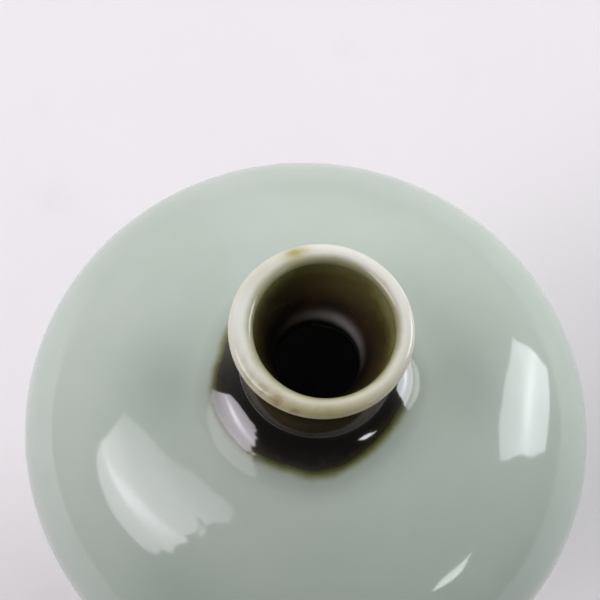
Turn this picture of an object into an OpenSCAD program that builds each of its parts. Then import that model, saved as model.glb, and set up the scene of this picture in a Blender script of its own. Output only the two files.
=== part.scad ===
// Meiping (plum vase) in celadon-glazed porcelain, with an iron-brown neck and a pale rolled lip.
// Z is up and the origin is the middle of the foot, on the table. Sizes are in millimetres.
// The outside is the glazed surface; the porcelain lies one glaze thickness below it.

/* [Body] */
// Radius of the belly at its widest, over the glaze
belly_r = 90; // [84:1:96]
// Height of the widest point above the table
belly_z = 200; // [190:1:210]
// Rise of the shoulder's oval dome above the widest point, if it closed over the top
dome_rise = 50.3; // [48:0.1:52]
// Angle up the dome at which the shoulder starts to sweep up to the neck
sweep_angle = 64; // [62:1:66]
// Thickness of the thrown wall
wall = 5; // [4:0.5:6]

/* [Foot] */
// Outer radius of the foot
foot_r = 51; // [48:1:54]
// Radius of the waist just above the foot
waist_r = 47.5; // [45:0.5:48]
// Height of the waist
waist_z = 32; // [28:1:36]
// Height of the bare foot ring
foot_h = 6; // [5:0.5:7]
// Inner radius of the foot ring
foot_bore_r = 41; // [38:1:42]
// Height of the glaze's lower edge above the table
glaze_line_z = 2.5; // [2:0.5:4]
// Height of the floor inside the vase
floor_z = 14; // [12:0.5:16]
// Radius of the base disc that closes the bottom
base_r = 30; // [26:1:32]

/* [Neck] */
// Radius of the neck where it stands on the shoulder
neck_r = 22; // [21.6:0.1:22.4]
// Height of the foot of the neck
neck_z = 254.7; // [253.5:0.1:256]
// Radius of the neck's outside under the lip
neck_top_r = 20.7; // [20.4:0.1:21]
// Radius of the narrow throat
throat_r = 12.1; // [11:0.1:13.5]
// Height of the top of the throat
throat_z = 258; // [256:0.5:260]

/* [Lip] */
// Radius of the middle of the rolled lip
lip_r = 22.1; // [21.9:0.1:22.3]
// Height of the middle of the lip
lip_z = 282.2; // [281.5:0.1:283]
// Half the width of the lip
lip_half_w = 3.1; // [2.9:0.1:3.3]
// Half the height of the lip
lip_half_h = 2.5; // [2.3:0.1:2.8]

/* [Glaze] */
// Thickness of the glaze
glaze = 0.6; // [0.4:0.1:0.8]
// Mean radius of the brown pool round the neck
pool_r = 29; // [28.5:0.1:30]
// How far the pool leans to one side
pool_lean = 1.4; // [0.8:0.1:2]
// How far the pool is drawn out along its lean
pool_oval = 0.9; // [0.5:0.1:1.2]
// Depth of the small waves in the pool's edge
pool_wave = 0.5; // [0.2:0.1:0.7]

/* [Hidden] */
$fn = 96;

// Steps along each stretch of the section
foot_steps = 6;
lower_steps = 16;
belly_steps = 8;
dome_steps = 16;
sweep_steps = 14;
neck_steps = 5;
lip_steps = 18;
funnel_steps = 8;
flare_steps = 12;
floor_steps = 6;
pool_steps = 48;

// The slip seam crosses the wall below the widest point, at these parameters of the body curve
seam_start = 0.86;
seam_end = 0.868;
// The lip's section starts under its overhang and ends on its inner side
lip_start_angle = -110;
lip_end_angle = 180;
// Direction in which the pool leans, and the direction of its longest tongue
pool_front = -113;
pool_tip = -76;
bevel = 1.2;
gap_above = 20;

function bezier(p, t) =
    pow(1 - t, 3) * p[0] + 3 * pow(1 - t, 2) * t * p[1] + 3 * (1 - t) * t * t * p[2] + pow(t, 3) * p[3];
function curve(p, steps) = [for (i = [0:steps]) bezier(p, i / steps)];
function slice(list, a, b) = [for (i = [a:b]) list[i]];
function backwards(list) = [for (i = [len(list) - 1:-1:0]) list[i]];
function tail(list) = slice(list, 1, len(list) - 1);
// Unit vector along the list at point i
function along(list, i) =
    let (d = list[min(i + 1, len(list) - 1)] - list[max(i - 1, 0)]) d / norm(d);
// The list moved sideways: to its left, which is into the wall all round the section
function inset(list, depth) =
    [for (i = [0:len(list) - 1]) list[i] + depth * [-along(list, i)[1], along(list, i)[0]]];

// Outside of the vase, from the glaze's lower edge up to the lip
foot_curve = concat([[foot_r, glaze_line_z]],
                    curve([[foot_r, foot_h], [foot_r, foot_h + 6], [waist_r, waist_z - 12], [waist_r, waist_z]],
                          foot_steps));
body_handles = [[waist_r, waist_z], [waist_r, waist_z + 58], [belly_r, belly_z - 40], [belly_r, belly_z]];
body_curve = concat([for (i = [0:lower_steps]) bezier(body_handles, seam_start * i / lower_steps)],
                    [for (i = [0:belly_steps]) bezier(body_handles,
                                                      seam_end + (1 - seam_end) * i / belly_steps)]);
dome_curve = [for (i = [0:dome_steps]) let (a = sweep_angle * i / dome_steps)
              [belly_r * cos(a), belly_z + dome_rise * sin(a)]];
dome_end = dome_curve[dome_steps];
dome_slope = dome_rise * cos(sweep_angle) / (belly_r * sin(sweep_angle));
sweep_run = dome_end[0] - neck_r;
sweep_curve = curve([dome_end,
                     dome_end + sweep_run * 0.37 * [-1, dome_slope],
                     [neck_r + sweep_run * 0.2, neck_z - sweep_run * 0.25],
                     [neck_r, neck_z]], sweep_steps);
function lip_point(a) = [lip_r + lip_half_w * cos(a), lip_z + lip_half_h * sin(a)];
lip_curve = [for (i = [0:lip_steps])
             lip_point(lip_start_angle + (lip_end_angle - lip_start_angle) * i / lip_steps)];
neck_curve = curve([[neck_r, neck_z], [neck_top_r, neck_z + 5], [neck_top_r, neck_z + 12], lip_curve[0]],
                   neck_steps);

// Inside of the vase, from the lip down to the floor
lip_inner = lip_curve[lip_steps];
funnel_curve = curve([lip_inner, lip_inner - [0, 6], [throat_r, throat_z + 7], [throat_r, throat_z]],
                     funnel_steps);
outside = concat(foot_curve, tail(body_curve), tail(dome_curve), tail(sweep_curve));
waist_i = foot_steps + 1;
seam_i = waist_i + lower_steps;
belly_i = seam_i + 1 + belly_steps;
dome_i = belly_i + dome_steps;
ring_i = dome_i + sweep_steps;
// The wall ends where the neck's thick base takes over from it
root_i = ring_i - 6;
cavity = inset(outside, wall + 2 * glaze);
root = cavity[root_i];
flare_curve = curve([[throat_r, throat_z - 4], [throat_r, throat_z - 9], root + [-6, 2.6], root], flare_steps);
waist_in = cavity[waist_i];
floor_curve = curve([waist_in, waist_in - [0, 12], [base_r + 6, floor_z + glaze], [base_r - 6, floor_z + glaze]],
                    floor_steps);

// The whole glazed surface as one line, and the porcelain's surface one glaze thickness below it
surface = concat(outside, tail(neck_curve), tail(lip_curve), tail(funnel_curve), flare_curve,
                 tail(backwards(slice(cavity, waist_i, root_i))), tail(floor_curve), [[0, floor_z + glaze]]);
clay = inset(surface, glaze);

// Where each stretch of the surface ends
lip_i = ring_i + neck_steps;
inner_i = lip_i + lip_steps;
throat_i = inner_i + funnel_steps;
flare_i = throat_i + 1;
root_in_i = flare_i + flare_steps;
last_i = len(surface) - 1;
// A point of the wall's outside and the one opposite it on the inside
function opposite(i) = root_in_i + root_i - i;

module turned(points) {
    rotate_extrude() polygon(points);
}

// A layer of glaze from point a to point b of the surface
module glaze_layer(a, b) {
    turned(concat(slice(surface, a, b), backwards(slice(clay, a, b))));
}

// A piece of the thrown wall between two of its points
module wall_piece(a, b) {
    turned(concat(slice(clay, a, b), slice(clay, opposite(b), opposite(a))));
}

// Outline of the brown pool as seen from above
function pool_edge(a) = pool_r + pool_lean * cos(a - pool_front) + pool_oval * cos(2 * (a - pool_front))
                        + pool_wave * cos(5 * (a - pool_tip)) + pool_wave / 2 * cos(9 * (a - pool_tip));
module pool_outline(height) {
    translate([0, 0, belly_z + dome_rise / 2])
        linear_extrude(height)
            polygon([for (i = [0:pool_steps - 1]) let (a = 360 * i / pool_steps)
                     pool_edge(a) * [cos(a), sin(a)]]);
}

// Bare ring that the vase stands on, bevelled on both edges
module foot_ring() {
    color("tan")
        turned([[foot_bore_r, foot_h], [foot_bore_r, bevel], [foot_bore_r + bevel, 0],
                [clay[0][0] - bevel, 0], [clay[0][0], bevel], clay[0], clay[1]]);
}

// Disc that closes the bottom
module base_floor() {
    color("ivory")
        intersection() {
            turned(floor_section());
            translate([0, 0, foot_h]) cylinder(h = floor_z, r = base_r);
        }
}

// Section of the floor and the lowest part of the wall, up to the waist
function floor_section() = concat([[0, foot_h], [foot_bore_r, foot_h]], slice(clay, 1, waist_i),
                                  slice(clay, opposite(waist_i), last_i));

// Lower half of the body, thrown as one section
module lower_body() {
    color("ivory") {
        difference() {
            turned(floor_section());
            cylinder(h = floor_z + foot_h, r = base_r);
        }
        wall_piece(waist_i, seam_i);
    }
}

// Slip that lutes the two thrown sections together
module belly_slip_seam() {
    color("wheat") wall_piece(seam_i, seam_i + 1);
}

// Upper section: belly, shoulder and the sweep up to the neck
module upper_body() {
    color("ivory")
        turned(concat(slice(clay, seam_i + 1, ring_i - 1),
                      slice(clay, flare_i + 1, opposite(seam_i + 1))));
}

// Slip under the neck
module neck_slip_seam() {
    color("wheat")
        turned([clay[ring_i - 1], clay[ring_i], clay[flare_i], clay[flare_i + 1]]);
}

// Short thrown neck with its narrow throat
module neck_collar() {
    color("ivory")
        turned(concat(slice(clay, ring_i, lip_i), slice(clay, inner_i, flare_i)));
}

// Rolled lip
module mouth_rim() {
    color("ivory") turned(slice(clay, lip_i, inner_i));
}

// Outer coat, which stops at the brown pool
module celadon_glaze() {
    color("#b4c2b8")
        difference() {
            glaze_layer(0, ring_i - 2);
            pool_outline(dome_rise);
        }
}

// Brown glaze on the neck, and its pool on the shoulder
module iron_glaze_collar() {
    color("#2a1f14")
        intersection() {
            glaze_layer(dome_i - 1, lip_i);
            pool_outline(dome_rise + gap_above);
        }
}

// Brown glaze inside the neck
module iron_glaze_lining() {
    color("#33291a") glaze_layer(inner_i, flare_i);
}

// Pale glaze over the lip
module lip_glaze() {
    color("#d4d3c4") glaze_layer(lip_i, inner_i);
}

// Liner inside the body and over the floor
module interior_glaze() {
    color("#a9b5a8") glaze_layer(flare_i, last_i);
}

// Glaze in the recess under the base
module base_glaze() {
    color("#b4c2b8")
        translate([0, 0, foot_h - glaze]) cylinder(h = glaze, r = foot_bore_r);
}

foot_ring();
base_floor();
lower_body();
belly_slip_seam();
upper_body();
neck_slip_seam();
neck_collar();
mouth_rim();
celadon_glaze();
iron_glaze_collar();
iron_glaze_lining();
lip_glaze();
interior_glaze();
base_glaze();
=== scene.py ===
"""Celadon meiping with an iron-brown neck and a pale rolled lip: its looks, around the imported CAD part.

The glazes, the bare foot and the porcelain of the neck are turned again here as fine meshes, with the
slight unevenness of a hand-thrown pot. They follow the section that the CAD model has. The section is
in millimetres and the meshes are in metres.
"""

import math

import bpy
import numpy as np
from mathutils import Matrix, Vector


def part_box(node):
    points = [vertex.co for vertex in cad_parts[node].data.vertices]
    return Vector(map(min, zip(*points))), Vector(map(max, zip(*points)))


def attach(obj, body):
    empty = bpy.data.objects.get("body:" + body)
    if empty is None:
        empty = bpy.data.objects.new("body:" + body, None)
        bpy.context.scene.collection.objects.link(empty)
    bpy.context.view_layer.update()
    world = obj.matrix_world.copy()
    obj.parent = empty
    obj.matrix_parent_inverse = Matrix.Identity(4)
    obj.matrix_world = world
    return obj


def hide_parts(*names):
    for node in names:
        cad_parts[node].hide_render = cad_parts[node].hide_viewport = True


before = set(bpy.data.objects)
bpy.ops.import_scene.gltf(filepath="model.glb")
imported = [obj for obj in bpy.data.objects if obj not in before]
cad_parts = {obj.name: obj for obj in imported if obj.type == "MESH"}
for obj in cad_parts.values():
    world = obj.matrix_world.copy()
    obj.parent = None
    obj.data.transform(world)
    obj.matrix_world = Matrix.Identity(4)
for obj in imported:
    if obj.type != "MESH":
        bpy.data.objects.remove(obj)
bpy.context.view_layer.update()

MM = 0.001  # metres in a millimetre


# ---- Sizes in millimetres, from the frame where a box gives them ----

def box_mm(node):
    """Lowest and highest corner of a CAD node, in millimetres."""
    low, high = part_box(node)
    return low / MM, high / MM


coat_low, coat_high = box_mm("celadon_glaze")
foot_low, foot_high = box_mm("foot_ring")
base_low, base_high = box_mm("base_glaze")
lip_low, lip_high = box_mm("lip_glaze")
lining_low, lining_high = box_mm("iron_glaze_lining")

glaze = base_high.z - base_low.z
belly_r = coat_high.x
glaze_line_z = coat_low.z
foot_h = foot_high.z
foot_r = foot_high.x + glaze
recess_r = base_high.x
lip_inner_r = lining_high.x - glaze
lip_r = (lip_high.x + lip_inner_r) / 2
lip_half_w = lip_high.x - lip_r
lip_z = (lip_high.z + lip_low.z) / 2
lip_half_h = lip_high.z - lip_z
throat_low_z = lining_low.z

# Handles of the section's curves, as part.scad has them
belly_z = 200.0
dome_rise = 50.3
sweep_angle = 64.0
waist_r, waist_z = 47.5, 32.0
neck_r, neck_z, neck_top_r = 22.0, 254.7, 20.7
throat_r, throat_z = 12.1, 258.0
wall = 5.0
floor_r, floor_z = 30.0, 14.0
root_share = 4 / 7  # how far up the sweep the wall gives way to the thick base of the neck
lip_start, lip_end = -110.0, 180.0

# Outline of the brown pool seen from above, as part.scad has it
pool_r, pool_lean, pool_oval, pool_front = 29.0, 1.4, 0.9, math.radians(-113)
pool_waves = ((5, 0.5), (9, 0.25))
pool_tip = math.radians(-76)


# ---- The section: one line over the outside, the lip and the inside ----

def bezier(start, leave, arrive, end, steps=80):
    a, b, c, d = (np.asarray(p, float) for p in (start, leave, arrive, end))
    t = np.linspace(0, 1, steps + 1)[:, None]
    return (1 - t) ** 3 * a + 3 * (1 - t) ** 2 * t * b + 3 * (1 - t) * t * t * c + t ** 3 * d


def oval(centre, half_w, half_h, first, last, steps=80):
    angle = np.radians(np.linspace(first, last, steps + 1))
    return np.asarray(centre) + np.column_stack((half_w * np.cos(angle), half_h * np.sin(angle)))


def normals_of(points):
    """Unit vectors to the right of the line, which is out of the clay all along the section."""
    step = np.gradient(points, axis=0)
    step /= np.linalg.norm(step, axis=1)[:, None]
    return np.column_stack((step[:, 1], -step[:, 0]))


class Section:
    """A line of (r, z) points, looked up by its length from the glaze's lower edge."""

    spacing = 0.05
    fillet = 3  # passes of smoothing over neighbouring points, which round the crease of the neck

    def __init__(self, stretches):
        line, ends = [stretches[0][1][:1]], {}
        for name, points in stretches:
            line.append(points[1:])
            ends[name] = sum(len(part) for part in line) - 1
        line = np.concatenate(line)
        length = np.concatenate(([0], np.cumsum(np.linalg.norm(np.diff(line, axis=0), axis=1))))
        self.ends = {name: length[index] for name, index in ends.items()}
        self.s = np.linspace(0, length[-1], int(length[-1] / self.spacing))
        points = np.column_stack([np.interp(self.s, length, line[:, axis]) for axis in (0, 1)])
        for _ in range(self.fillet):
            points[2:-2] = (points[:-4] + points[1:-3] + points[2:-2] + points[3:-1] + points[4:]) / 5
        self.points = points
        self.normals = normals_of(points)

    def at(self, s):
        """r, z and the unit normal's two parts at length s."""
        columns = np.column_stack((self.points, self.normals))
        return [np.interp(s, self.s, columns[:, i]) for i in range(4)]

    def length_at_radius(self, radius, first, last):
        """Where the line passes a radius, between two lengths where it narrows all the way."""
        inside = (self.s >= first) & (self.s <= last)
        return np.interp(-radius, -self.points[inside, 0], self.s[inside])


def make_section():
    foot = np.concatenate(([[foot_r, glaze_line_z]],
                           bezier((foot_r, foot_h), (foot_r, foot_h + 6),
                                  (waist_r, waist_z - 12), (waist_r, waist_z))))
    body = bezier((waist_r, waist_z), (waist_r, waist_z + 58), (belly_r, belly_z - 40), (belly_r, belly_z))
    dome = oval((0, belly_z), belly_r, dome_rise, 0, sweep_angle)
    turn = math.radians(sweep_angle)
    dome_slope = dome_rise * math.cos(turn) / (belly_r * math.sin(turn))
    run = dome[-1, 0] - neck_r
    sweep = bezier(dome[-1], dome[-1] + run * 0.37 * np.array((-1, dome_slope)),
                   (neck_r + run * 0.2, neck_z - run * 0.25), (neck_r, neck_z), 140)
    lip = oval((lip_r, lip_z), lip_half_w, lip_half_h, lip_start, lip_end)
    neck = bezier((neck_r, neck_z), (neck_top_r, neck_z + 5), (neck_top_r, neck_z + 12), lip[0])
    funnel = bezier(lip[-1], lip[-1] - (0, 6), (throat_r, throat_z + 7), (throat_r, throat_z))
    throat = np.array([(throat_r, throat_z), (throat_r, throat_low_z)])

    outside = np.concatenate((foot[-1:], body[1:], dome[1:], sweep[1:int(len(sweep) * root_share)]))
    cavity = (outside - normals_of(outside) * (wall + 2 * glaze))[::-1]
    flare = bezier(throat[-1], throat[-1] - (0, 5), cavity[0] + (-6, 2.6), cavity[0])
    floor_top = floor_z + glaze
    floor = bezier(cavity[-1], cavity[-1] - (0, 12), (floor_r + 6, floor_top), (floor_r - 6, floor_top))
    centre = np.array([floor[-1], (0, floor_top)])
    return Section([("foot", foot), ("body", body), ("dome", dome), ("sweep", sweep), ("neck", neck),
                    ("lip", lip), ("funnel", funnel), ("throat", throat), ("flare", flare),
                    ("cavity", cavity), ("floor", floor), ("centre", centre)])


section = make_section()
ends = section.ends


def pool_edge(angle):
    """Radius of the brown pool's edge, in millimetres."""
    lean = angle - pool_front
    waves = sum(depth * np.cos(count * (angle - pool_tip)) for count, depth in pool_waves)
    return pool_r + pool_lean * np.cos(lean) + pool_oval * np.cos(2 * lean) + waves


# ---- The unevenness of a hand-thrown and glazed pot ----

oval_depth, oval_at = 0.12, math.radians(25)
lean_depth, lean_at = 0.09, math.radians(70)
ring_depth, ring_pitch = 0.022, 9.0
ripple_depth, ripple_waves = 0.006, 14
mouth_shift = 0.75  # how far the mouth's hole lies to the right of the lip
random = np.random.default_rng(7)
ripple_lengths = random.uniform(9, 34, ripple_waves)
ripple_axes = random.normal(size=(ripple_waves, 3))
ripple_axes *= (2 * math.pi / ripple_lengths / np.linalg.norm(ripple_axes, axis=1))[:, None]
ripple_starts = random.uniform(0, 2 * math.pi, ripple_waves)


def unevenness(s, angle, r, z):
    """How far the surface lies below its true section, in millimetres. It is never above it."""
    x, y = r * np.cos(angle), r * np.sin(angle)
    dip = oval_depth * (0.5 - 0.5 * np.cos(2 * (angle - oval_at)))
    dip = dip + lean_depth * (0.5 - 0.5 * np.cos(angle - lean_at))
    dip = dip + ring_depth * (0.5 - 0.5 * np.cos(2 * math.pi * s / ring_pitch + angle))
    for axis, length, start in zip(ripple_axes, ripple_lengths, ripple_starts):
        share = ripple_depth * length / 20
        dip = dip + share * (1 + np.sin(axis[0] * x + axis[1] * y + axis[2] * z + start)) / 2
    return dip * np.clip(r / 10, 0, 1)


def smooth_step(first, last, value):
    t = np.clip((value - first) / (last - first), 0, 1)
    return t * t * (3 - 2 * t)


def surface(s, angle, depth):
    """Points in metres at lengths s of the section and angles round the pot, some depth below the glaze."""
    r, z, out_r, out_z = section.at(s)
    inward = depth + unevenness(s, angle, r, z)
    r, z = r - inward * out_r, z - inward * out_z
    crest = (ends["neck"] + ends["lip"]) / 2
    shift = mouth_shift * smooth_step(crest - 2, ends["lip"], s)
    shift = shift * (1 - smooth_step(ends["lip"], ends["funnel"], s))
    return np.stack((r * np.cos(angle) + shift, r * np.sin(angle), z), -1) * MM


# ---- Turning: rings of points round the axis, joined into closed skins ----

turns = 256
angles = np.linspace(0, 2 * math.pi, turns, endpoint=False)


class Run:
    """Rings along a stretch of a closed section. normals, where given, are the surface's own."""

    def __init__(self, points, normals=None):
        self.points = points
        self.normals = normals


def glaze_run(lengths, depth=0.0, facing=1):
    """Rings at lengths of the section, which may differ from angle to angle, all at one depth."""
    s = np.broadcast_to(np.asarray(lengths, float).reshape(len(lengths), -1), (len(lengths), turns))
    a = np.broadcast_to(angles, s.shape)
    points = surface(s, a, depth)
    along = surface(s + 0.05, a, depth) - surface(s - 0.05, a, depth)
    around = surface(s, a + 0.002, depth) - surface(s, a - 0.002, depth)
    normals = np.cross(around, along)
    size = np.linalg.norm(normals, axis=2)[..., None]
    normals = np.divide(normals, size, out=np.zeros_like(normals), where=size > 0)
    return Run(points, normals * facing)


def turned_run(profile):
    """Rings of a plain (r, z) profile in millimetres."""
    r, z = np.asarray(profile, float).T
    r, z = r[:, None], z[:, None] + 0 * angles
    return Run(np.stack((r * np.cos(angles), r * np.sin(angles), z), -1) * MM)


def rings_between(first, last, spacing):
    """Lengths from first to last, either of which may differ from angle to angle."""
    count = max(2, int(np.max(np.abs(np.asarray(last) - first)) / spacing) + 1)
    share = np.linspace(0, 1, count)[:, None]
    return first + (np.asarray(last) - first) * share


def skin(name, runs):
    """A closed mesh from runs in order round its section. Rings on the axis shrink to one point."""
    points, ring_ids, ring_run = [], [], []
    for number, run in enumerate(runs):
        for ring in run.points:
            on_axis = np.hypot(ring[:, 0], ring[:, 1]).max() < 1e-7
            start = len(points)
            points.extend(ring[:1] if on_axis else ring)
            ring_ids.append([start] * turns if on_axis else list(range(start, start + turns)))
            ring_run.append(number)
    faces, face_rings = [], []
    count = len(ring_ids)
    for i in range(count):
        here, there = ring_ids[i], ring_ids[(i + 1) % count]
        for j in range(turns):
            k = (j + 1) % turns
            corners = (here[j], here[k], there[k], there[j])
            face = list(dict.fromkeys(corners))
            if len(face) > 2:
                faces.append(face)
                face_rings.append(i)
    mesh = bpy.data.meshes.new(name)
    mesh.from_pydata(points, [], faces)
    mesh.polygons.foreach_set("use_smooth", [True] * len(mesh.polygons))
    set_normals(mesh, runs, ring_ids, ring_run, face_rings)
    piece = bpy.data.objects.new(name, mesh)
    bpy.context.scene.collection.objects.link(piece)
    return piece


def set_normals(mesh, runs, ring_ids, ring_run, face_rings):
    """Gives the faces inside each exact run the surface's own normals, and keeps the section's corners sharp."""
    count = len(ring_ids)
    vertex_normals = np.zeros((len(mesh.vertices), 3))
    for run_rings, run in zip(np.split(np.arange(count), np.flatnonzero(np.diff(ring_run)) + 1), runs):
        if run.normals is not None:
            for ring, normal in zip(run_rings, run.normals):
                vertex_normals[ring_ids[ring]] = normal
    loops = np.zeros((len(mesh.loops), 3))
    vertex_of = np.zeros(len(mesh.loops), int)
    mesh.loops.foreach_get("vertex_index", vertex_of)
    for polygon, ring in zip(mesh.polygons, face_rings):
        if ring_run[ring] == ring_run[(ring + 1) % count]:
            where = slice(polygon.loop_start, polygon.loop_start + polygon.loop_total)
            loops[where] = vertex_normals[vertex_of[where]]
    corner = np.zeros(len(mesh.vertices), bool)
    for i in range(count):
        if len({ring_run[i - 1], ring_run[i], ring_run[(i + 1) % count]}) > 1:
            corner[ring_ids[i]] = True
    sharp = [corner[edge.vertices[0]] and corner[edge.vertices[1]] for edge in mesh.edges]
    mesh.attributes.new("sharp_edge", "BOOLEAN", "EDGE").data.foreach_set("value", sharp)
    mesh.normals_split_custom_set(loops)


def glaze_skin(name, first, last, spacing, back_spacing):
    """A layer of glaze between two lengths of the section."""
    front = glaze_run(rings_between(first, last, spacing))
    back = glaze_run(rings_between(last, first, back_spacing), glaze, -1)
    return skin(name, [front, back])


def clay_skin(name, outer, inner, spacing):
    """Porcelain between a stretch of the outside and one of the inside, each under its glaze."""
    return skin(name, [glaze_run(rings_between(*outer, spacing), glaze),
                       glaze_run(rings_between(*inner, spacing), glaze)])


# ---- Materials: procedural colour, gloss and bump ----

class Value:
    """A number over the surface: a shader socket that can be reckoned with."""

    def __init__(self, graph, socket):
        self.graph = graph
        self.socket = socket

    def __add__(self, other):
        return self.graph.math("ADD", self, other)

    def __sub__(self, other):
        return self.graph.math("SUBTRACT", self, other)

    def __mul__(self, other):
        return self.graph.math("MULTIPLY", self, other)

    def __rmul__(self, other):
        return self.graph.math("MULTIPLY", other, self)

    def __radd__(self, other):
        return self.graph.math("ADD", other, self)

    def __rsub__(self, other):
        return self.graph.math("SUBTRACT", other, self)


class Graph:
    """One material's node tree."""

    def __init__(self, name):
        self.material = bpy.data.materials.new(name)
        self.material.use_nodes = True
        self.tree = self.material.node_tree
        self.shader = self.tree.nodes["Principled BSDF"]
        self.place = self.node("ShaderNodeTexCoord").outputs["Object"]
        axes = self.node("ShaderNodeSeparateXYZ")
        self.feed(axes.inputs[0], self.place)
        self.x, self.y, self.z = (Value(self, axes.outputs[i]) * (1 / MM) for i in range(3))
        self.r = self.math("SQRT", self.x * self.x + self.y * self.y)
        self.angle = self.math("ARCTAN2", self.y, self.x)

    def node(self, kind, **settings):
        node = self.tree.nodes.new(kind)
        for name, value in settings.items():
            setattr(node, name, value)
        return node

    def feed(self, socket, value):
        if isinstance(value, Value):
            value = value.socket
        if isinstance(value, bpy.types.NodeSocket):
            self.tree.links.new(value, socket)
        else:
            socket.default_value = value

    def math(self, operation, *values):
        node = self.node("ShaderNodeMath", operation=operation)
        for socket, value in zip(node.inputs, values):
            self.feed(socket, value)
        return Value(self, node.outputs[0])

    def noise(self, size, detail=2.0, stretch=(1, 1, 1), seed=0.0):
        """Noise round zero, from about -0.5 to 0.5, with features of a size in millimetres."""
        mapping = self.node("ShaderNodeMapping")
        self.feed(mapping.inputs["Vector"], self.place)
        mapping.inputs["Scale"].default_value = [share / (size * MM) for share in stretch]
        mapping.inputs["Location"].default_value = (seed, seed / 2, -seed)
        texture = self.node("ShaderNodeTexNoise")
        self.feed(texture.inputs["Vector"], mapping.outputs[0])
        texture.inputs["Scale"].default_value = 1.0
        texture.inputs["Detail"].default_value = detail
        return Value(self, texture.outputs["Fac"]) - 0.5

    def cells(self, size, seed=0.0):
        """Distance to the nearest scattered point, in cells of a size in millimetres, and its random number."""
        mapping = self.node("ShaderNodeMapping")
        self.feed(mapping.inputs["Vector"], self.place)
        mapping.inputs["Scale"].default_value = [1 / (size * MM)] * 3
        mapping.inputs["Location"].default_value = (seed, seed, seed)
        texture = self.node("ShaderNodeTexVoronoi")
        self.feed(texture.inputs["Vector"], mapping.outputs[0])
        texture.inputs["Scale"].default_value = 1.0
        return Value(self, texture.outputs["Distance"]), Value(self, texture.outputs["Color"])

    def step(self, value, first, last):
        """0 at first and 1 at last, with soft ends."""
        node = self.node("ShaderNodeMapRange", interpolation_type="SMOOTHSTEP")
        for socket, number in zip(node.inputs, (value, first, last, 0.0, 1.0)):
            self.feed(socket, number)
        return Value(self, node.outputs[0])

    def ramp(self, value, stops):
        """Colours at stops of the value, in its own unit."""
        first, last = stops[0][0], stops[-1][0]
        node = self.node("ShaderNodeValToRGB")
        self.feed(node.inputs[0], (value - first) * (1 / (last - first)))
        elements = node.color_ramp.elements
        while len(elements) < len(stops):
            elements.new(0.5)
        for element, (at, colour) in zip(elements, stops):
            element.position = (at - first) / (last - first)
            element.color = (*colour, 1)
        return node.outputs[0]

    def blend(self, share, colour, other):
        node = self.node("ShaderNodeMix", data_type="RGBA")
        self.feed(node.inputs["Factor"], share)
        for socket, value in zip((node.inputs[6], node.inputs[7]), (colour, other)):
            self.feed(socket, value if isinstance(value, bpy.types.NodeSocket) else (*value, 1))
        return node.outputs[2]

    def spot(self, at, half_width, height, height_at, half_height):
        """1 at one angle round the pot and one height, falling off smoothly round it."""
        turn = self.math("PINGPONG", self.angle - math.radians(at), math.pi)
        across = turn * (1 / math.radians(half_width))
        up = (height - height_at) * (1 / half_height)
        return self.math("EXPONENT", -1.0 * (across * across + up * up))

    def finish(self, colour, roughness, ior=1.5, bump=None, bump_height=0.0):
        self.feed(self.shader.inputs["Base Color"], colour)
        self.feed(self.shader.inputs["Roughness"], roughness)
        self.shader.inputs["IOR"].default_value = ior
        if bump is not None:
            node = self.node("ShaderNodeBump")
            node.inputs["Strength"].default_value = 1.0
            node.inputs["Distance"].default_value = bump_height * MM
            self.feed(node.inputs["Height"], bump)
            self.feed(self.shader.inputs["Normal"], node.outputs[0])
        return self.material


CELADON = (0.465, 0.532, 0.468)
CELADON_PALE = (0.50, 0.558, 0.498)
CELADON_DEEP = (0.425, 0.503, 0.430)
FRINGE_GREY = (0.36, 0.40, 0.335)
FRINGE_OLIVE = (0.22, 0.235, 0.115)
OLIVE = (0.085, 0.095, 0.02)
UMBER = (0.022, 0.019, 0.007)
BLACK_BROWN = (0.0075, 0.0062, 0.0048)
NECK_OLIVE = (0.058, 0.045, 0.020)
NECK_DARK = (0.022, 0.015, 0.008)


def pool_depth(g):
    """How far a point lies inside the brown pool's edge, in millimetres, with the runs of a melted glaze.

    The pool falls away below the belly, so none is painted under the base. The neck's brown, which goes by radius
    alone, still reaches the middle of the base.
    """
    lean = g.angle - pool_front
    edge = pool_lean * g.math("COSINE", lean) + pool_oval * g.math("COSINE", lean * 2.0)
    for count, depth in pool_waves:
        edge = edge + depth * g.math("COSINE", (g.angle - pool_tip) * float(count))
    edge = edge - g.step(g.z, 200.0, 100.0) * 100.0
    return edge + pool_r - g.r + g.noise(9, 3) * 1.6 + g.noise(2.2, 2, seed=4) * 0.5


def celadon_colour(g):
    cloud = g.noise(55, 3) + g.noise(16, 3, seed=3) * 0.5
    colour = g.blend(g.step(cloud, -0.25, 0.3), CELADON_DEEP, CELADON_PALE)
    colour = g.blend(0.5, colour, CELADON)
    # Painted shade: three darker patches on the shoulder, beside where the window highlights fall.
    painted_shade_patches = 1.3 * g.spot(-167, 17, g.r, 43, 11) + g.spot(7, 15, g.r, 47, 9) + g.spot(-114, 13, g.r, 72, 10)
    colour = g.blend(painted_shade_patches * g.step(g.z, 150.0, 200.0) * 0.75, colour, (0.375, 0.44, 0.385))
    distance, chance = g.cells(21)
    speck = g.step(distance, 0.030, 0.016) * g.step(chance, 0.80, 0.81)
    return g.blend(speck * 0.75, colour, (0.19, 0.20, 0.12))


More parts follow.
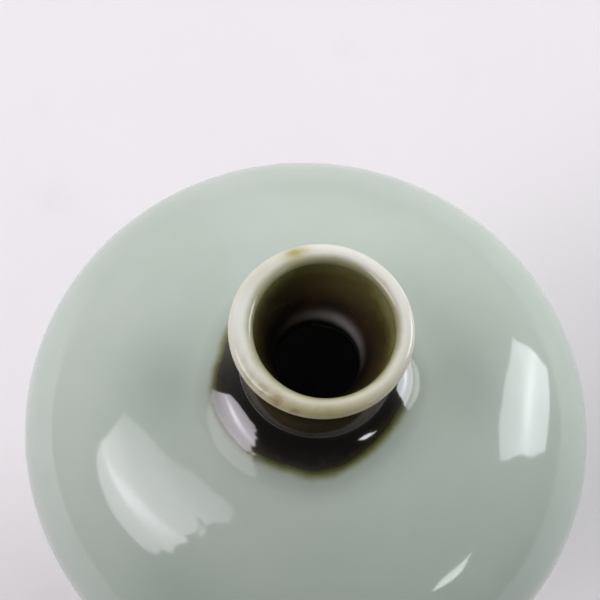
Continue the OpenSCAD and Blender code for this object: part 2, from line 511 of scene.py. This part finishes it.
def shoulder_colour(g):
    """Celadon that runs through an olive fringe into the dark pool, and the thinner brown on the neck, which
    darkens under the lip's overhang as painted shade.
    """
    depth = pool_depth(g)
    fringe = g.ramp(depth, ((-6.0, (1, 1, 1)), (-1.8, (0.86, 0.85, 0.83)), (0.0, (0.5, 0.5, 0.4)),
                            (0.4, (0.5, 0.5, 0.4))))
    tinted = g.node("ShaderNodeMix", data_type="RGBA", blend_type="MULTIPLY")
    tinted.inputs["Factor"].default_value = 1.0
    g.feed(tinted.inputs[6], celadon_colour(g))
    g.feed(tinted.inputs[7], fringe)
    dark = g.ramp(depth, ((-1.2, FRINGE_GREY), (-0.3, FRINGE_OLIVE), (0.6, OLIVE), (1.5, UMBER),
                          (3.0, BLACK_BROWN)))
    # Painted reflection: the fringe is grey instead of olive where the window highlights cross the pool's edge,
    # standing in for the highlights washing its olive out.
    plain = g.ramp(depth, ((-1.2, FRINGE_GREY), (-0.3, (0.23, 0.235, 0.205)), (0.6, (0.11, 0.108, 0.095)),
                           (1.8, (0.03, 0.028, 0.024)), (3.0, BLACK_BROWN)))
    highlight_crossings = g.spot(-140, 24, g.r, 30, 7) + 0.5 * g.spot(-8, 18, g.r, 29, 7)
    dark = g.blend(highlight_crossings, dark, plain)
    runs = g.step(g.noise(5, 4, stretch=(1, 1, 0.4), seed=21), -0.08, 0.2) * g.step(depth, 7.0, 2.0)
    dark = g.blend(runs * g.step(depth, 0.8, 1.8) * 0.6, dark, (0.034, 0.023, 0.009))
    colour = g.blend(g.step(depth, -1.6, -0.5), tinted.outputs[2], dark)
    # The neck's olive-brown is lightest a little above the crease; its darkening further up, under the lip's
    # overhang, is painted shade.
    height = g.z - neck_z + g.noise(6, 3, seed=8) * 3
    neck = g.ramp(height, ((-1.0, BLACK_BROWN), (0.6, NECK_DARK), (6.0, NECK_OLIVE), (15.0, NECK_DARK)))
    return g.blend(g.step(g.r, neck_r + 1.0, neck_r + 0.2), colour, neck)


def gloss(g, smooth, rough):
    return g.step(g.noise(30, 4, seed=11), -0.4, 0.4) * (rough - smooth) + smooth


def celadon_material():
    g = Graph("celadon_glaze")
    return g.finish(shoulder_colour(g), gloss(g, 0.05, 0.085), 1.5, g.noise(2.6, 2, seed=2), 0.0035)


def iron_material():
    g = Graph("iron_glaze")
    crease = g.spot(-50, 55, g.z, neck_z + 1.0, 2.2)
    return g.finish(shoulder_colour(g), gloss(g, 0.05, 0.09) + crease * 0.3, 1.8, g.noise(2.6, 2, seed=2), 0.0035)


def lining_material():
    """Olive at the mouth, then brown in drifts, with a pale crescent above the throat that is a painted sheen."""
    g = Graph("iron_lining")
    drop = lip_z - g.z + g.noise(7, 4) * 6 + g.noise(2, 3, seed=5) * 1.5
    drop = drop + g.math("COSINE", g.angle - math.radians(190)) * 1.0
    olive = g.ramp(drop, ((-1.0, (0.255, 0.255, 0.12)), (1.0, (0.21, 0.205, 0.075)), (2.6, (0.155, 0.145, 0.045)),
                          (4.6, (0.092, 0.082, 0.025)), (8.0, (0.044, 0.034, 0.013)),
                          (16.0, (0.014, 0.010, 0.008))))
    brown = g.blend(g.step(g.noise(9, 3, stretch=(1, 1, 0.5), seed=7), -0.05, 0.3), olive,
                    (0.045, 0.025, 0.011))
    colour = g.blend(g.step(drop, 2.5, 6.0), olive, brown)
    colour = g.blend(g.spot(88, 40, g.z, 275, 7) * 0.6, colour, (0.12, 0.095, 0.036))
    # Painted sheen: a pale crescent on the far side of the mouth, just above the throat, where the glaze catches a
    # reflection.
    step = g.spot(72, 55, g.z + g.noise(5, 2, seed=3) * 1.0, throat_z + 2.7, 2.6)
    colour = g.blend(step * 0.8, colour, (0.56, 0.53, 0.50))
    return g.finish(colour, gloss(g, 0.10, 0.16), 1.6, g.noise(2.6, 2, seed=2), 0.004)


IVORY = (0.745, 0.74, 0.67)
CREAM = (0.62, 0.60, 0.46)
TAN = (0.42, 0.37, 0.22)


def lip_material():
    """Ivory on top of the roll, tan under its overhang and olive-brown where it turns into the mouth."""
    g = Graph("ivory_glaze")
    turn = g.math("ARCTAN2", g.z - lip_z, g.r - lip_r) * (180 / math.pi)
    turn = turn + g.math("COSINE", g.angle) * 6.0 + g.noise(7, 3) * 26 + g.noise(2, 3, seed=5) * 9
    colour = g.ramp(turn, ((lip_start, (0.05, 0.04, 0.018)), (-85, (0.16, 0.13, 0.065)), (-45, TAN),
                           (-10, (0.50, 0.46, 0.31)), (20, CREAM), (45, IVORY), (100, IVORY),
                           (116, (0.60, 0.59, 0.48)), (130, (0.43, 0.425, 0.29)), (148, (0.31, 0.305, 0.17)),
                           (lip_end, (0.19, 0.19, 0.085))))
    # Painted light: the lip is whiter on its side toward the left window.
    painted_window_light = g.spot(193, 38, turn, 65, 60)
    colour = g.blend(painted_window_light * 0.8, colour, (0.80, 0.82, 0.775))
    colour = g.blend(g.spot(146, 20, turn, 65, 60) * 0.7, colour, CREAM)
    sunny = g.spot(117, 9, turn, 75, 45)
    colour = g.blend(sunny * (g.noise(2.5, 3, seed=9) + 1.0), colour, (0.45, 0.38, 0.12))
    tan = g.spot(-84, 60, turn, 45, 75)
    colour = g.blend(tan, colour, (0.425, 0.385, 0.205))
    front = g.spot(-106, 34, turn, 45, 50) * g.step(g.noise(3.5, 4, seed=15), -0.06, 0.16)
    colour = g.blend(front * 0.75, colour, (0.30, 0.22, 0.09))
    return g.finish(colour, gloss(g, 0.06, 0.10), 1.5, g.noise(1.8, 2, seed=2), 0.004)


def liner_material():
    g = Graph("liner_glaze")
    colour = g.blend(g.step(g.noise(40, 3), -0.3, 0.3), (0.50, 0.56, 0.51), (0.56, 0.62, 0.57))
    return g.finish(colour, gloss(g, 0.12, 0.2), 1.5, g.noise(6, 2), 0.02)


def bare_porcelain_material():
    """Unglazed foot: buff, flashed orange by the kiln in patches, with dark grit and a dry surface."""
    g = Graph("bare_porcelain")
    colour = g.blend(g.step(g.noise(14, 4), -0.15, 0.25), (0.60, 0.52, 0.41), (0.50, 0.34, 0.21))
    distance, chance = g.cells(1.6)
    grit = g.step(distance, 0.2, 0.1) * g.step(chance, 0.7, 0.72)
    colour = g.blend(grit * 0.6, colour, (0.12, 0.08, 0.05))
    return g.finish(colour, g.noise(3, 4) * 0.2 + 0.75, 1.5, g.noise(0.5, 4, seed=3), 0.05)


def clay_material(name, dark, pale):
    """Fired porcelain under its glaze, with the fine drag lines of the wheel."""
    g = Graph(name)
    drag = g.noise(3, 3, stretch=(0.1, 0.1, 1))
    colour = g.blend(g.step(drag + g.noise(0.8, 3), -0.4, 0.4), dark, pale)
    return g.finish(colour, g.noise(5, 3) * 0.15 + 0.65, 1.5, drag, 0.03)


# ---- The pieces ----

def dress(piece, material, slot, *nodes):
    """Puts a new piece on the root body in place of its CAD nodes."""
    piece.data.materials.append(material)
    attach(piece, "root")
    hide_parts(*nodes)


def make_coat():
    """Outer celadon coat, with a rounded lower edge, up to the pool's wavy edge."""
    edge = section.length_at_radius(pool_edge(angles), ends["dome"], ends["sweep"])
    shoulder = ends["body"] - 10.0
    bead = 0.9  # height of the rounded lower edge
    round_off = np.radians(np.linspace(0, 90, 7))[:-1]
    lower = [surface(np.full(turns, bead * (1 - np.cos(a))), angles, glaze * (1 - np.sin(a)))
             for a in round_off]
    front = np.concatenate((rings_between(bead, shoulder, 2.0) + 0 * angles,
                            rings_between(shoulder, edge, 1.3)[1:]))
    back = rings_between(edge, 0.0 * angles, 5.0)
    return skin("celadon_coat", [Run(np.array(lower)), glaze_run(front), glaze_run(back, glaze, -1)]), edge


def make_foot():
    """Bare ring that the pot stands on, worn round at its edges."""
    outer, inner, wear = foot_r - glaze, recess_r, 1.3
    profile = np.concatenate(([(inner, foot_h)],
                              oval((inner + wear, wear), wear, wear, 180, 270, 8),
                              [((inner + outer) / 2, 0)],
                              oval((outer - wear, wear), wear, wear, 270, 360, 8),
                              [(outer, foot_h)]))
    return skin("bare_foot", [turned_run(profile)])


def make_base():
    """Glaze under the base, which climbs down the inside of the foot ring and ends in a soft edge."""
    inner, under, edge_z, hollow = recess_r, base_low.z, 3.4, 0.25
    corner = oval((inner - 2.2, under - 2.2), 1.7, 2.2, 90, 0, 10)
    profile = np.concatenate(([(0, base_high.z), (inner, base_high.z)],
                              [(inner, edge_z + 0.2)], oval((inner - 0.25, edge_z), 0.25, 0.3, 0, -180, 6)[1:],
                              corner[::-1], [(inner / 2, under + hollow), (0, under + hollow)]))
    return skin("base_coat", [turned_run(profile)])


def build():
    celadon, iron = celadon_material(), iron_material()
    porcelain = clay_material("porcelain", (0.70, 0.69, 0.66), (0.78, 0.77, 0.74))
    slip = clay_material("slip", (0.62, 0.58, 0.52), (0.72, 0.69, 0.63))
    coat, edge = make_coat()
    dress(coat, celadon, "celadon", "celadon_glaze")
    collar = glaze_skin("iron_collar", edge, ends["neck"] + 0 * angles, 0.45, 1.5)
    dress(collar, iron, "iron_brown", "iron_glaze_collar")
    lip = glaze_skin("ivory_lip", ends["neck"], ends["lip"], 0.25, 0.6)
    dress(lip, lip_material(), "ivory", "lip_glaze")
    lining = glaze_skin("iron_lining", ends["lip"], ends["throat"], 0.5, 1.5)
    dress(lining, lining_material(), "iron_brown", "iron_glaze_lining")
    liner = glaze_skin("liner_coat", ends["throat"], ends["centre"], 3.0, 6.0)
    dress(liner, liner_material(), "liner", "interior_glaze")
    dress(make_base(), celadon, "celadon", "base_glaze")
    dress(make_foot(), bare_porcelain_material(), "bare_porcelain", "foot_ring")
    rim = clay_skin("clay_rim", (ends["neck"], ends["lip"]), (ends["lip"], ends["lip"] + 0.01), 0.6)
    dress(rim, porcelain, "porcelain", "mouth_rim")
    neck = clay_skin("clay_neck", (ends["sweep"], ends["neck"]), (ends["lip"], ends["throat"]), 0.8)
    dress(neck, porcelain, "porcelain", "neck_collar")
    for node in ("base_floor", "lower_body", "upper_body"):
        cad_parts[node].data.materials.clear()
        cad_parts[node].data.materials.append(porcelain)
    for node in ("belly_slip_seam", "neck_slip_seam"):
        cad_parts[node].data.materials.clear()
        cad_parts[node].data.materials.append(slip)


# ---- Camera, floor and light ----

belly_centre = Vector((0, 0, belly_z * MM))


def toward(azimuth, elevation):
    """Unit vector; azimuth is in degrees from +X towards +Y."""
    a, e = math.radians(azimuth), math.radians(elevation)
    return Vector((math.cos(e) * math.cos(a), math.cos(e) * math.sin(a), math.sin(e)))


def add(name, data):
    thing = bpy.data.objects.new(name, data)
    bpy.context.scene.collection.objects.link(thing)
    return thing


def look(thing, place, target, roll=0.0):
    """Stands a camera or light at a place, facing a target, turned about its own axis."""
    facing = (target - place).to_track_quat("-Z", "Y").to_matrix().to_4x4()
    thing.matrix_world = Matrix.Translation(place) @ facing @ Matrix.Rotation(math.radians(roll), 4, "Z")


def make_camera():
    camera = add("camera", bpy.data.cameras.new("camera"))
    camera.data.lens = 83.7
    place = belly_centre + toward(-90, 72.56) * 0.451
    look(camera, place, belly_centre + Vector((-0.0086, 0.0412, 0)), 6.23)
    bpy.context.scene.camera = camera


def window_light(name, colour, pane, core, across, spread, tear):
    """Light that is strongest along a core line over the pane, and tears off raggedly at the pane's edge.

    core gives the line's two ends as (across, up) from 0 to 1, across its half width and spread how far
    the pane's own light falls off along it. The pane's two shares are its texture coordinates.
    """
    g = Graph(name)
    g.tree.nodes.remove(g.shader)
    shares = g.node("ShaderNodeSeparateXYZ")
    g.feed(shares.inputs[0], g.node("ShaderNodeTexCoord").outputs["UV"])
    u, v = Value(g, shares.outputs[0]), Value(g, shares.outputs[1])
    (u0, v0), (u1, v1) = core
    reach = math.hypot(u1 - u0, v1 - v0)
    along_u, along_v = (u1 - u0) / reach, (v1 - v0) / reach
    aside = (u - u0) * along_v - (v - v0) * along_u
    along = ((u - u0) * along_u + (v - v0) * along_v) * (1 / reach) - 0.5
    streak = g.math("EXPONENT", -1.0 * (aside * aside * (1 / across ** 2) + along * along * 3.0))
    wide = g.math("EXPONENT", -1.0 * (aside * aside * (1 / spread ** 2)))
    far_edge = 1.0 - u + (g.noise(420, 4, seed=6) - 0.12) * tear
    side_edge = g.math("MINIMUM", v, 1.0 - v) + (g.noise(500, 3, seed=2) - 0.12) * tear * 0.25
    torn = g.step(g.math("MINIMUM", far_edge, side_edge), -0.004, 0.014)
    light = g.node("ShaderNodeEmission")
    g.feed(light.inputs["Color"], (*colour, 1))
    low, middle, high = pane
    g.feed(light.inputs["Strength"], (wide * (middle - low) + low + streak * (high - middle)) * torn)
    g.tree.links.new(light.outputs[0], g.tree.nodes["Material Output"].inputs[0])
    return g.material


def make_window(name, low_edge, high_edge, material, distance=6.0):
    """A pane of light between two curved edges, each given by its start, middle and end.

    They are azimuths and elevations at which the edges are seen from the belly.
    """
    count = 16
    points, shares = [], []
    for i in range(count + 1):
        u = i / count
        weights = (1 - u) * (1 - 2 * u), 4 * u * (1 - u), u * (2 * u - 1)
        low, high = (sum((toward(*at) * weight for at, weight in zip(edge, weights)), Vector())
                     for edge in (low_edge, high_edge))
        for j in range(count + 1):
            v = j / count
            points.append(belly_centre + low.lerp(high, v) * distance)
            shares.append((u, v))
    row = count + 1
    cells = [(i * row + j, (i + 1) * row + j, (i + 1) * row + j + 1, i * row + j + 1)
             for i in range(count) for j in range(count)]
    mesh = bpy.data.meshes.new(name)
    mesh.from_pydata(points, [], cells)
    layer = mesh.uv_layers.new(name="share")
    for loop in mesh.loops:
        layer.data[loop.index].uv = shares[loop.vertex_index]
    mesh.materials.append(material)
    pane = add(name, mesh)
    pane.visible_camera = False


def make_fill(name, azimuth, elevation, width, power):
    """A broad soft light that isn't mirrored in the glaze."""
    lamp = add(name, bpy.data.lights.new(name, "AREA"))
    lamp.data.size = width
    lamp.data.energy = power
    look(lamp, belly_centre + toward(azimuth, elevation) * 2.0, belly_centre)
    lamp.visible_glossy = False


def make_floor():
    """A pale table that ends nearer in front of the pot than behind it."""
    near, far = 0.8, 3.6
    count = 96
    rim = []
    for i in range(count):
        angle = 2 * math.pi * i / count
        radius = near + (far - near) * (1 + math.sin(angle)) / 2
        rim.append((radius * math.cos(angle), radius * math.sin(angle), 0))
    mesh = bpy.data.meshes.new("floor")
    mesh.from_pydata(rim, [], [range(count)])
    g = Graph("floor")
    shade = g.blend(g.step(g.noise(300, 3), -0.3, 0.3), (0.885, 0.85, 0.875), (0.92, 0.89, 0.91))
    smudge = g.step(g.noise(60, 5, seed=4), 0.10, 0.30)
    shade = g.blend(smudge * 0.45, shade, (0.80, 0.78, 0.80))
    # Painted shade: the table darkens toward the front and right, where the pot's shadow and the light's falloff
    # lie.
    shade = g.blend(g.step(g.x * 0.35 - g.y, -350.0, 150.0) * 0.17, shade, (0, 0, 0))
    mesh.materials.append(g.finish(shade, 0.7))
    add("floor", mesh)


def make_world(base, lobes):
    """The room: a faint even light, and broad lobes round azimuths and elevations from walls out of sight."""
    world = bpy.data.worlds.new("room")
    bpy.context.scene.world = world
    world.use_nodes = True
    nodes, links = world.node_tree.nodes, world.node_tree.links
    place = nodes.new("ShaderNodeTexCoord")
    total = None
    for azimuth, elevation, sharpness, strength in lobes:
        facing = nodes.new("ShaderNodeVectorMath")
        facing.operation = "DOT_PRODUCT"
        facing.inputs[1].default_value = toward(azimuth, elevation)
        links.new(place.outputs["Generated"], facing.inputs[0])
        ahead, power, share = (nodes.new("ShaderNodeMath") for _ in range(3))
        ahead.operation, power.operation, share.operation = "MAXIMUM", "POWER", "MULTIPLY_ADD"
        ahead.inputs[1].default_value = 0.0
        power.inputs[1].default_value = sharpness
        share.inputs[1].default_value = strength
        share.inputs[2].default_value = base
        links.new(facing.outputs["Value"], ahead.inputs[0])
        links.new(ahead.outputs[0], power.inputs[0])
        links.new(power.outputs[0], share.inputs[0])
        if total is not None:
            links.new(total, share.inputs[2])
        total = share.outputs[0]
    links.new(total, nodes["Background"].inputs["Strength"])
    nodes["Background"].inputs["Color"].default_value = (1, 1, 1, 1)


def make_stage():
    scene = bpy.context.scene
    scene.view_settings.view_transform = "Standard"
    make_camera()
    make_floor()
    make_world(0.03, ((90, 35, 6, 1.5), (90, 5, 8, 0.25), (45, 10, 8, 0.55), (135, 10, 8, 0.8),
                      (180, 10, 8, 0.10), (0, 90, 8, 0.73)))
    make_fill("left_wall", 180, 15, 1.2, 5.5)
    make_fill("right_wall", 45, 15, 1.2, 3.8)
    left = window_light("left_window_light", (1.02, 0.97, 1.045), (1.7, 4.8, 9.2),
                        ((0.20, 0.32), (0.82, 0.38)), 0.055, 0.44, 0.38)
    make_window("left_window", ((188, 25), (204, 22), (227.5, 29)), ((176, 38.7), (196.5, 56), (238, 64)), left)
    right = window_light("right_window_light", (0.96, 1, 1.05), (4.4, 6.1, 9.6),
                         ((0.10, 0.50), (0.85, 0.50)), 0.08, 0.42, 0.10)
    make_window("right_window", ((32.4, -0.8), (22.4, 3.8), (11.8, 7.4)), ((40.7, 15.7), (25.4, 30.4), (6, 33.1)),
                right)
    sliver = window_light("sliver_light", (1, 1, 1), (7.0, 7.0, 8.5), ((0, 0.4), (1, 0.4)), 0.3, 1, 0.5)
    make_window("sliver", ((320.5, 26.2), (325.5, 24.2), (331, 24.2)), ((326, 29.3), (332.5, 28.6), (338.5, 27.4)),
                sliver)


build()
make_stage()
